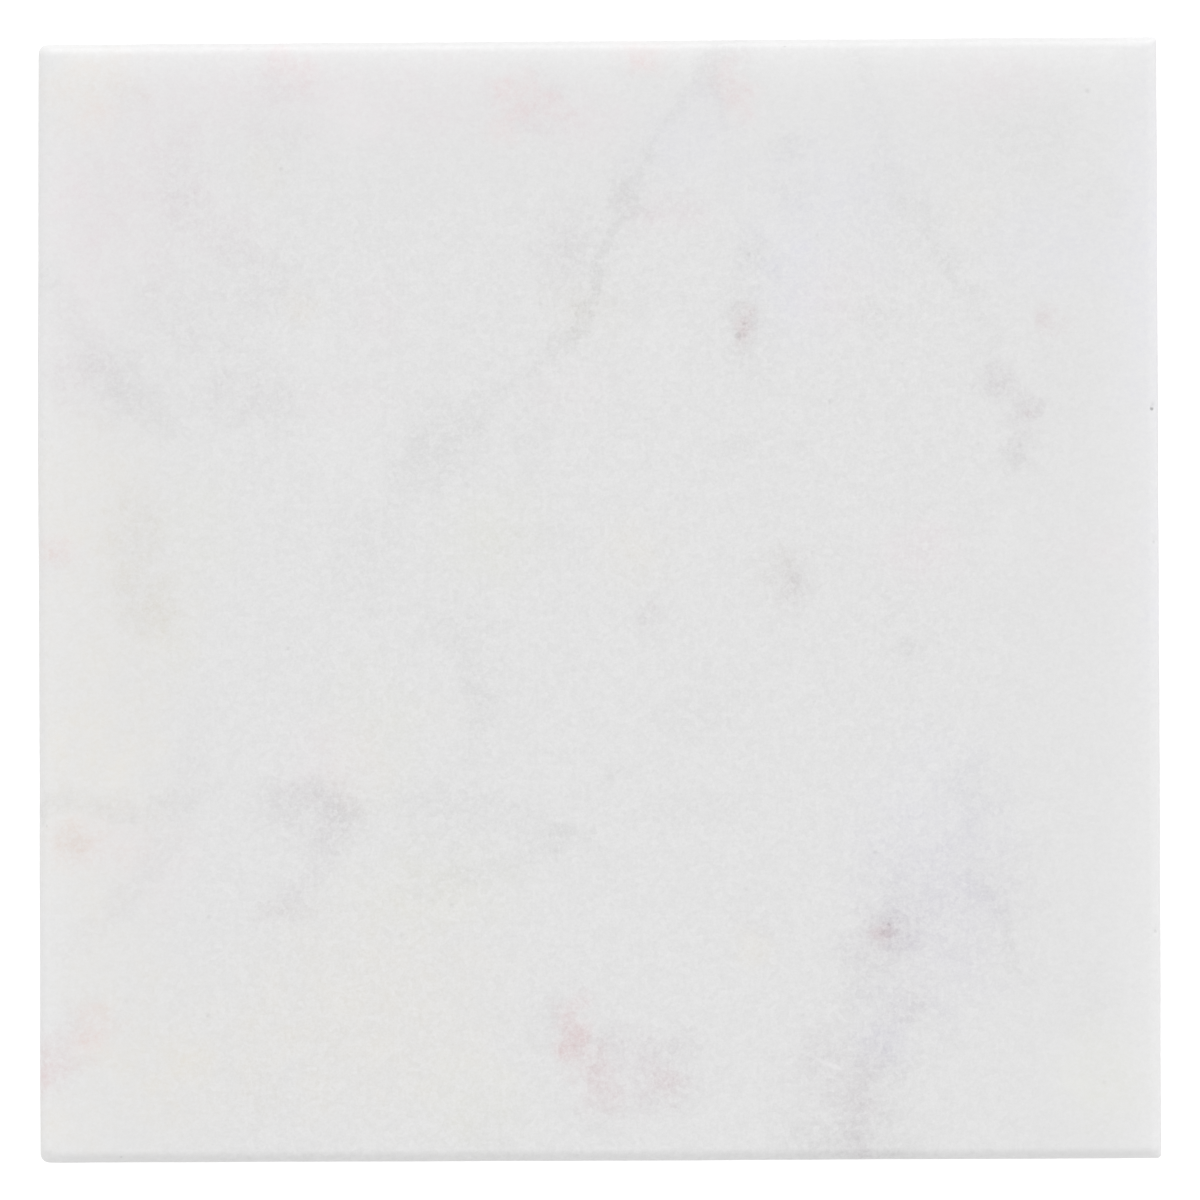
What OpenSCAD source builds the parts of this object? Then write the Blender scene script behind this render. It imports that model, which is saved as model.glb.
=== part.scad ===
// Square marble drink coaster on four round cork feet.
// Units are millimetres. The origin lies on the table under the middle of the
// slab, +Z points up, +X to the right and +Y to the back. The front is -Y.

/* [Marble slab] */
// Width of the slab, left to right
slab_w = 100; // [80:1:120]
// Depth of the slab, front to back
slab_d = 100; // [80:1:120]
// Thickness of the slab
slab_h = 10; // [8:0.5:14]
// Radius of the eased edge around the top face
top_edge_r = 1.1; // [0.4:0.1:2]
// Width and height of the small bevel around the underside
base_bevel = 0.5; // [0.2:0.1:1]
// Radius of the two left corners, seen from above
left_corner_r = 0.8; // [0.3:0.1:2]
// Radius of the two right corners, seen from above
right_corner_r = 0.4; // [0.3:0.1:2]

/* [Cork feet] */
// Diameter of a cork foot
foot_d = 12; // [8:0.5:18]
// Thickness of a cork foot
foot_h = 1.5; // [1:0.1:3]
// Radius of the worn lower rim of a cork foot
foot_rim_r = 0.3; // [0.1:0.05:0.8]
// Distance from a side of the slab to the middle of the nearest foot
foot_inset = 12; // [11:0.5:20]

/* [Adhesive discs] */
// Thickness of the adhesive between a foot and the stone
film_h = 0.15; // [0.1:0.05:0.4]
// Distance that the adhesive stays back from the rim of its foot
film_setback = 0.2; // [0:0.05:0.5]

/* [Hidden] */
// Heights at which the pieces meet
film_z = foot_h;
slab_z = film_z + film_h;
// Length by which a cutting shape runs past what it cuts
overrun = 2;
// Directions from the middle of the slab to its left and right sides, and to
// its front and rear sides
LEFT = -1;
RIGHT = 1;
FRONT = -1;
REAR = 1;
// Smoothness of round shapes
$fn = 64;

// Radius of the plan corners on one side of the slab
function corner_r(side) = side == LEFT ? left_corner_r : right_corner_r;

// Outline of the slab seen from above, with its four rounded corners
module plan_outline() {
    half_w = slab_w / 2;
    half_d = slab_d / 2;
    polygon([
        [-half_w, -half_d + left_corner_r],
        [-half_w + left_corner_r, -half_d],
        [half_w - right_corner_r, -half_d],
        [half_w, -half_d + right_corner_r],
        [half_w, half_d - right_corner_r],
        [half_w - right_corner_r, half_d],
        [-half_w + left_corner_r, half_d],
        [-half_w, half_d - left_corner_r]
    ]);
    for (side = [LEFT, RIGHT], end = [FRONT, REAR])
        translate([side * (half_w - corner_r(side)), end * (half_d - corner_r(side))])
            circle(r = corner_r(side));
}

// Upright section through the slab, with eased top edges and a bevelled base
module edge_section(width) {
    half = width / 2;
    shoulder_h = slab_h - top_edge_r;
    polygon([
        [-half + base_bevel, 0],
        [half - base_bevel, 0],
        [half, base_bevel],
        [half, shoulder_h],
        [half - top_edge_r, slab_h],
        [-half + top_edge_r, slab_h],
        [-half, shoulder_h],
        [-half, base_bevel]
    ]);
    for (side = [LEFT, RIGHT])
        translate([side * (half - top_edge_r), shoulder_h])
            circle(r = top_edge_r);
}

// Bar with the slab's upright section, longer than the slab it shapes
module section_bar(width, length) {
    rotate([90, 0, 0])
        linear_extrude(height = length + 2 * overrun, center = true)
            edge_section(width);
}

// The marble slab: the plan outline shaped by one bar along each direction, so
// that the eased edges meet in a mitre at every corner
module stone_slab() {
    color([0.91, 0.90, 0.90])
        translate([0, 0, slab_z])
            intersection() {
                translate([0, 0, -overrun])
                    linear_extrude(height = slab_h + 2 * overrun)
                        plan_outline();
                section_bar(slab_w, slab_d);
                rotate([0, 0, 90])
                    section_bar(slab_d, slab_w);
            }
}

// Puts a foot's piece under the corner that the two directions name
module at_corner(side, end) {
    translate([side * (slab_w / 2 - foot_inset), end * (slab_d / 2 - foot_inset), 0])
        children();
}

// One cork foot: a punched disc with a worn lower rim
module foot_pad(side, end) {
    foot_r = foot_d / 2;
    color([0.72, 0.55, 0.38])
        at_corner(side, end)
            rotate_extrude()
                union() {
                    square([foot_r - foot_rim_r, foot_h]);
                    translate([0, foot_rim_r])
                        square([foot_r, foot_h - foot_rim_r]);
                    translate([foot_r - foot_rim_r, foot_rim_r])
                        circle(r = foot_rim_r);
                }
}

// One disc of adhesive, pressed flat between a foot and the stone
module adhesive(side, end) {
    color([0.86, 0.84, 0.74])
        at_corner(side, end)
            translate([0, 0, film_z])
                cylinder(h = film_h, r = foot_d / 2 - film_setback);
}

module foot_pad_front_left() { foot_pad(LEFT, FRONT); }
module foot_pad_front_right() { foot_pad(RIGHT, FRONT); }
module foot_pad_rear_left() { foot_pad(LEFT, REAR); }
module foot_pad_rear_right() { foot_pad(RIGHT, REAR); }
module adhesive_front_left() { adhesive(LEFT, FRONT); }
module adhesive_front_right() { adhesive(RIGHT, FRONT); }
module adhesive_rear_left() { adhesive(LEFT, REAR); }
module adhesive_rear_right() { adhesive(RIGHT, REAR); }

stone_slab();
foot_pad_front_left();
foot_pad_front_right();
foot_pad_rear_left();
foot_pad_rear_right();
adhesive_front_left();
adhesive_front_right();
adhesive_rear_left();
adhesive_rear_right();
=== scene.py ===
"""Looks of a square marble coaster on four cork feet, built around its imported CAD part."""

import logging
import math
import random
from dataclasses import dataclass, field
from enum import Enum
from typing import Callable, Optional, Sequence, Union

import bpy
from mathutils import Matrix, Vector, noise


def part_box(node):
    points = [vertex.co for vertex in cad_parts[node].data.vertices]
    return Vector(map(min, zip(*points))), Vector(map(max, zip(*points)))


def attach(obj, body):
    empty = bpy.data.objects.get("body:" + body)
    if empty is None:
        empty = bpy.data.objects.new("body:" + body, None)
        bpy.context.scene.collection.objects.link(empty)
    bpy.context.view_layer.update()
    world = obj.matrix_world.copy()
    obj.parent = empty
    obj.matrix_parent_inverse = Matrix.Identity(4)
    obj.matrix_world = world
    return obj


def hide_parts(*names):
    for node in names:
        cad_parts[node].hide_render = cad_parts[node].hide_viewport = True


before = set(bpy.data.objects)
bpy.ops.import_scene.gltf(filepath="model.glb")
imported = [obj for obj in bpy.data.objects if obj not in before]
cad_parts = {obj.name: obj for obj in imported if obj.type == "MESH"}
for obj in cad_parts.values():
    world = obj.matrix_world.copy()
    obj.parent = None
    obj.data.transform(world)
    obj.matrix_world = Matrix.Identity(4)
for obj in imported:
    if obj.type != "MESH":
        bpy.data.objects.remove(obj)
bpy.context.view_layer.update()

LOG = logging.getLogger("coaster")
MM = 0.001
BODY = "root"

# A value that feeds a socket: another socket, a number or a set of numbers
Signal = Union[bpy.types.NodeSocket, float, Sequence[float]]


class Board:
    """The node board of a finish or of the sky, with short calls for the nodes they are made of."""

    def __init__(self, name: str, store: Optional[bpy.types.bpy_prop_collection] = None) -> None:
        """Opens an empty board.

        Args:
            name: name of the material, or of the world.
            store: the list in the file that keeps it; the materials, where none is given.
        """
        self.owner = (bpy.data.materials if store is None else store).new(name)
        self.owner.use_nodes = True
        self.tree = self.owner.node_tree
        self.tree.nodes.clear()

    def feed(self, socket: bpy.types.NodeSocket, value: Signal) -> None:
        """Links a socket to another one, or writes a fixed value on it.

        Args:
            socket: the input to feed.
            value: what feeds it.
        """
        if isinstance(value, bpy.types.NodeSocket):
            self.tree.links.new(value, socket)
        else:
            socket.default_value = value

    def add(self, kind: str, *values: Signal, **settings: object) -> bpy.types.Node:
        """Places a node, sets it up and feeds its first inputs in order.

        Args:
            kind: the node's type.
            values: what feeds its first inputs.
            settings: the node's own settings.

        Returns:
            The new node.
        """
        node = self.tree.nodes.new(kind)
        for key, setting in settings.items():
            setattr(node, key, setting)
        for socket, value in zip(node.inputs, values):
            self.feed(socket, value)
        return node

    def math(self, operation: str, *values: Signal) -> bpy.types.NodeSocket:
        """Result of one sum on numbers."""
        return self.add("ShaderNodeMath", *values, operation=operation).outputs[0]

    def vector(self, operation: str, *values: Signal) -> bpy.types.NodeSocket:
        """Result of one sum on vectors."""
        return self.add("ShaderNodeVectorMath", *values, operation=operation).outputs["Vector"]

    def scaled(self, value: Signal, factor: Signal) -> bpy.types.NodeSocket:
        """Stretches a vector.

        Args:
            value: the vector.
            factor: the number it is multiplied by.

        Returns:
            The longer or shorter vector.
        """
        node = self.add("ShaderNodeVectorMath", value, operation="SCALE")
        self.feed(node.inputs["Scale"], factor)
        return node.outputs["Vector"]

    def length(self, value: Signal) -> bpy.types.NodeSocket:
        """Length of a vector."""
        return self.add("ShaderNodeVectorMath", value, operation="LENGTH").outputs["Value"]

    def dot(self, value: Signal, weights: Signal) -> bpy.types.NodeSocket:
        """Sum of a vector's numbers, each times its weight."""
        return self.add("ShaderNodeVectorMath", value, weights, operation="DOT_PRODUCT").outputs["Value"]

    def swing(self, value: Signal, middle: float, reach: float) -> bpy.types.NodeSocket:
        """A number from nought to one, made to swing about a middle over the whole of a reach."""
        return self.math("MULTIPLY_ADD", value, reach, middle - reach / 2)

    def mixed(self, start: Signal, *parts: tuple[Signal, float]) -> Signal:
        """Adds numbers up, each times its own share.

        Args:
            start: the number to start from.
            parts: the numbers to add, each with its share.

        Returns:
            The sum.
        """
        for value, share in parts:
            start = self.math("MULTIPLY_ADD", value, share, start)
        return start

    def triple(self, value: Signal) -> bpy.types.NodeSocket:
        """A vector that holds one number three times."""
        return self.add("ShaderNodeCombineXYZ", value, value, value).outputs[0]

    def along(self, place: Signal, direction: Sequence[float], start: float) -> bpy.types.NodeSocket:
        """Distance that places lie along a direction, from a start.

        Args:
            place: the places.
            direction: the direction; a shorter one stretches the distance.
            start: the distance of the start, which is taken off.

        Returns:
            The distance.
        """
        return self.math("SUBTRACT", self.dot(place, direction), start)

    def split(self, value: Signal) -> tuple[bpy.types.NodeSocket, ...]:
        """The three numbers of a vector."""
        return tuple(self.add("ShaderNodeSeparateXYZ", value).outputs)

    def millimetres(self) -> bpy.types.NodeSocket:
        """Places on the piece, in millimetres."""
        place = self.add("ShaderNodeTexCoord").outputs["Object"]
        return self.moved(place, (0.0, 0.0, 0.0), 0.0, (1 / MM,) * 3, "POINT")

    def moved(
        self,
        place: Signal,
        location: Sequence[float],
        turn: float,
        size: Sequence[float],
        kind: str = "TEXTURE",
    ) -> bpy.types.NodeSocket:
        """Places seen from a frame that is moved, turned and stretched.

        Args:
            place: the places.
            location: the frame's origin.
            turn: its turn about the upright axis, in degrees.
            size: its scale along each axis.
            kind: the mapping's type.

        Returns:
            The places in that frame.
        """
        return self.add(
            "ShaderNodeMapping", place, location, (0.0, 0.0, math.radians(turn)), size, vector_type=kind
        ).outputs[0]

    def fade(
        self, value: Signal, full: float, none: float, top: float = 1.0, low: float = 0.0
    ) -> bpy.types.NodeSocket:
        """A smooth step from one level to another.

        Args:
            value: the number that drives the step.
            full: its value where the step has reached the top level.
            none: its value where the step starts from the low level.
            top: the level at full.
            low: the level at none.

        Returns:
            The stepped number.
        """
        return self.add(
            "ShaderNodeMapRange", value, none, full, low, top, interpolation_type="SMOOTHSTEP", clamp=False
        ).outputs[0]

    def noise(
        self, place: Signal, size: float, detail: float = 2.0, roughness: float = 0.5
    ) -> bpy.types.Node:
        """Cloudy noise whose bumps are about one size across.

        Args:
            place: where it is read, in millimetres.
            size: size of its bumps, in millimetres.
            detail: number of finer layers.
            roughness: strength of each finer layer.

        Returns:
            The noise node.
        """
        node = self.add("ShaderNodeTexNoise")
        self.feed(node.inputs["Vector"], place)
        node.inputs["Scale"].default_value = 1.0 / size
        node.inputs["Detail"].default_value = detail
        node.inputs["Roughness"].default_value = roughness
        return node

    def cells(self, place: Signal, size: float, feature: str = "F1", jitter: float = 1.0) -> bpy.types.Node:
        """A pattern of packed cells.

        Args:
            place: where it is read, in millimetres.
            size: size of a cell, in millimetres.
            feature: what is measured in a cell.
            jitter: how far the cells are from a square grid.

        Returns:
            The cell node.
        """
        node = self.add("ShaderNodeTexVoronoi", feature=feature)
        self.feed(node.inputs["Vector"], place)
        node.inputs["Scale"].default_value = 1.0 / size
        node.inputs["Randomness"].default_value = jitter
        return node

    def bump(self, height: Signal, strength: float, depth: float) -> bpy.types.NodeSocket:
        """Makes a surface look uneven.

        Args:
            height: the relief.
            strength: how much of it shows.
            depth: the height that one step of the relief stands for, in millimetres.

        Returns:
            The direction that the uneven surface faces.
        """
        node = self.add("ShaderNodeBump")
        node.inputs["Strength"].default_value = strength
        node.inputs["Distance"].default_value = depth * MM
        self.feed(node.inputs["Height"], height)
        return node.outputs[0]

    def surface(self, **sockets: Signal) -> bpy.types.Node:
        """Adds the surface shader and the output.

        Args:
            sockets: values for the shader's sockets, with underscores for spaces.

        Returns:
            The shader node.
        """
        shader = self.add("ShaderNodeBsdfPrincipled")
        for key, value in sockets.items():
            self.feed(shader.inputs[key.replace("_", " ")], value)
        self.add("ShaderNodeOutputMaterial", shader.outputs[0])
        return shader


class Mineral(Enum):
    """Minerals that stain the stone, one of which also carries painted light: how much each takes from red,
    green and blue light.
    """

    GRAPHITE = (1.0, 1.0, 1.0)
    MAUVE = (0.9, 1.08, 0.95)
    ROSE = (0.65, 1.15, 1.05)
    UMBER = (0.85, 1.0, 1.3)
    PINK_BLUSH = (-0.85, 0.75, 0.1)
    CREAM_BLUSH = (-0.45, 0.0, 1.0)
    OLIVE_BLUSH = (-0.05, -0.15, 0.9)
    SALMON_BLUSH = (-1.0, 0.5, 0.5)
    LAVENDER_BLUSH = (0.15, 0.15, -0.9)
    # Pales the stone: real calcite, paler places and wear, and also the painted light along three edges
    CALCITE = (-1.0, -1.0, -1.0)


@dataclass(frozen=True)
class Cloud:
    """A soft-edged stain on the face, in millimetres from the middle of the slab."""

    x: float
    y: float
    long: float
    wide: float
    turn: float
    strength: float
    mineral: Mineral

    def frame(self) -> tuple[float, ...]:
        """Measures the stain for the board.

        Returns:
            Factors that give a place's distance along and across the stain, where its rim is at one.
        """
        turn = math.radians(self.turn)
        long, wide = 1.3 * self.long, 1.3 * self.wide
        ahead = Vector((math.cos(turn), math.sin(turn))) / long
        aside = Vector((-math.sin(turn), math.cos(turn))) / wide
        middle = Vector((self.x, self.y))
        return ahead.x, ahead.y, -middle.dot(ahead), aside.x, aside.y, -middle.dot(aside)


@dataclass(frozen=True)
class Vein:
    """A seam through the face: the places it runs through, with its width and strength at each."""

    mineral: Mineral
    run: tuple[tuple[float, float, float, float], ...]


VEINS = (
    # Main vein, from the rear edge to the left of the middle
    Vein(
        Mineral.GRAPHITE,
        (
            (11.3, 50.5, 2.2, 2.5),
            (9.0, 46.5, 1.8, 3.6),
            (6.0, 42.5, 1.2, 3.6),
            (4.0, 39.5, 1.1, 3.6),
            (2.5, 36.0, 1.2, 3.6),
            (1.0, 32.6, 1.1, 4.0),
            (0.2, 30.2, 1.0, 6.0),
            (-0.4, 27.6, 1.1, 7.0),
            (-1.7, 25.0, 1.2, 5.5),
            (-3.5, 22.7, 1.2, 3.8),
            (-5.4, 20.9, 1.1, 3.8),
            (-7.2, 19.5, 1.3, 3.2),
            (-9.2, 18.2, 1.8, 2.6),
            (-11.5, 16.2, 3.0, 1.8),
            (-14.0, 13.8, 3.4, 1.4),
            (-16.6, 11.0, 2.8, 1.2),
            (-19.0, 8.2, 2.0, 1.0),
            (-20.5, 6.5, 1.5, 0.0),
        ),
    ),
    # Right vein, from the rear edge down towards the hook
    Vein(
        Mineral.GRAPHITE,
        (
            (22.2, 50.5, 2.0, 0.8),
            (23.6, 47.0, 2.0, 1.6),
            (24.8, 43.5, 2.2, 1.6),
            (25.6, 40.0, 2.0, 1.8),
            (27.0, 37.2, 2.0, 2.0),
            (28.6, 34.6, 2.0, 2.6),
            (30.4, 32.0, 1.7, 4.4),
            (32.2, 29.2, 1.6, 3.6),
            (33.8, 26.6, 1.7, 2.6),
            (35.0, 24.2, 1.7, 2.4),
            (35.4, 22.6, 1.6, 0.0),
        ),
    ),
    # Between the two spots of the hook
    Vein(
        Mineral.MAUVE,
        (
            (34.6, 21.6, 1.6, 0.0),
            (35.8, 19.4, 1.8, 3.6),
            (37.2, 17.8, 1.6, 4.4),
            (38.8, 16.4, 1.6, 4.6),
            (39.8, 15.8, 1.2, 0.0),
        ),
    ),
    # Left diagonal, through the grey patch
    Vein(
        Mineral.GRAPHITE,
        (
            (-51.0, 30.5, 2.4, 2.8),
            (-48.4, 27.6, 2.6, 2.8),
            (-46.0, 23.4, 3.0, 2.2),
            (-43.4, 20.0, 3.4, 2.4),
            (-40.8, 17.4, 2.8, 3.4),
            (-38.8, 15.6, 2.2, 3.4),
            (-37.2, 14.8, 1.8, 1.6),
            (-36.0, 13.6, 1.6, 0.0),
        ),
    ),
    # Band that enters at the left edge
    Vein(
        Mineral.GRAPHITE,
        (
            (-51.0, -17.6, 2.2, 3.8),
            (-47.0, -17.9, 2.3, 3.8),
            (-43.0, -18.2, 2.3, 3.6),
            (-39.0, -18.4, 2.1, 3.2),
            (-36.0, -17.6, 1.8, 2.2),
            (-33.5, -17.0, 1.5, 0.0),
        ),
    ),
    # Long diagonal in the lower left
    Vein(
        Mineral.MAUVE,
        (
            (-35.0, -8.5, 3.0, 0.0),
            (-35.6, -11.5, 3.0, 1.0),
            (-36.6, -15.0, 3.2, 1.2),
            (-38.0, -19.0, 3.0, 1.6),
            (-40.0, -23.0, 2.6, 2.0),
            (-42.6, -26.6, 2.4, 2.6),
            (-44.6, -28.6, 2.2, 2.2),
            (-47.0, -31.0, 2.0, 1.2),
            (-49.0, -33.0, 1.5, 0.0),
        ),
    ),
    # Grainy streak left of the middle
    Vein(
        Mineral.GRAPHITE,
        (
            (-16.2, -0.4, 1.8, 0.0),
            (-14.4, -2.4, 2.8, 1.2),
            (-12.6, -4.6, 2.8, 1.4),
            (-11.4, -7.0, 2.4, 2.4),
            (-10.9, -9.8, 2.2, 3.4),
            (-11.3, -12.6, 2.2, 2.6),
            (-12.2, -15.6, 1.6, 0.0),
        ),
    ),
    # Bands across the lower middle
    Vein(
        Mineral.GRAPHITE,
        (
            (-20.6, -17.6, 1.8, 0.0),
            (-18.0, -18.0, 2.2, 1.8),
            (-14.0, -18.2, 2.4, 2.0),
            (-10.0, -18.6, 2.6, 2.4),
            (-7.0, -19.4, 2.8, 2.6),
            (-3.6, -20.6, 2.6, 2.8),
            (-1.0, -21.4, 2.0, 1.8),
            (1.0, -22.0, 1.8, 0.0),
        ),
    ),
    Vein(
        Mineral.GRAPHITE,
        (
            (-2.6, -20.4, 2.2, 0.0),
            (-4.8, -21.8, 2.8, 2.8),
            (-7.4, -23.4, 2.8, 2.6),
            (-10.4, -24.4, 2.4, 2.2),
            (-13.6, -25.0, 2.4, 2.4),
            (-16.6, -25.8, 2.0, 1.6),
            (-18.6, -26.6, 1.6, 0.0),
        ),
    ),
    # Dark patch in the lower left and its tail
    Vein(
        Mineral.GRAPHITE,
        (
            (-31.0, -16.0, 1.6, 0.0),
            (-29.4, -16.9, 2.4, 2.4),
            (-27.4, -17.8, 2.8, 3.0),
            (-25.6, -17.6, 3.0, 4.0),
            (-24.0, -18.3, 3.2, 4.2),
            (-22.4, -18.7, 2.8, 4.0),
            (-21.2, -19.0, 2.2, 2.0),
            (-20.0, -19.4, 1.6, 0.0),
        ),
    ),
    Vein(
        Mineral.MAUVE,
        (
            (-23.2, -18.0, 2.6, 0.0),
            (-23.8, -20.4, 2.6, 3.8),
            (-25.2, -23.2, 2.4, 3.6),
            (-27.2, -25.8, 2.4, 3.8),
            (-29.2, -28.0, 2.2, 3.4),
            (-30.6, -29.4, 1.8, 0.0),
        ),
    ),
    # Fine arc in the lower right
    Vein(
        Mineral.GRAPHITE,
        (
            (31.0, -21.6, 1.4, 0.0),
            (33.0, -23.5, 1.5, 1.8),
            (35.0, -26.6, 1.5, 2.6),
            (36.2, -29.6, 1.5, 3.2),
            (37.0, -32.6, 1.5, 2.8),
            (38.2, -35.5, 1.4, 0.0),
        ),
    ),
    # Vein that leaves through the front edge
    Vein(
        Mineral.MAUVE,
        (
            (29.4, -33.0, 2.4, 0.0),
            (28.2, -35.0, 2.8, 3.4),
            (27.0, -36.7, 2.8, 6.0),
            (25.4, -38.8, 2.6, 4.4),
            (24.0, -41.4, 2.4, 4.6),
            (23.2, -44.2, 2.2, 5.2),
            (22.8, -47.0, 2.0, 5.4),
            (22.7, -49.0, 2.4, 7.0),
            (22.7, -51.0, 2.2, 7.0),
        ),
    ),
    Vein(
        Mineral.MAUVE,
        (
            (18.4, -38.0, 1.8, 0.0),
            (19.4, -40.0, 2.4, 2.6),
            (20.6, -42.4, 2.8, 2.6),
            (21.6, -44.6, 2.6, 2.8),
            (22.4, -47.0, 2.2, 0.0),
        ),
    ),
)

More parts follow.
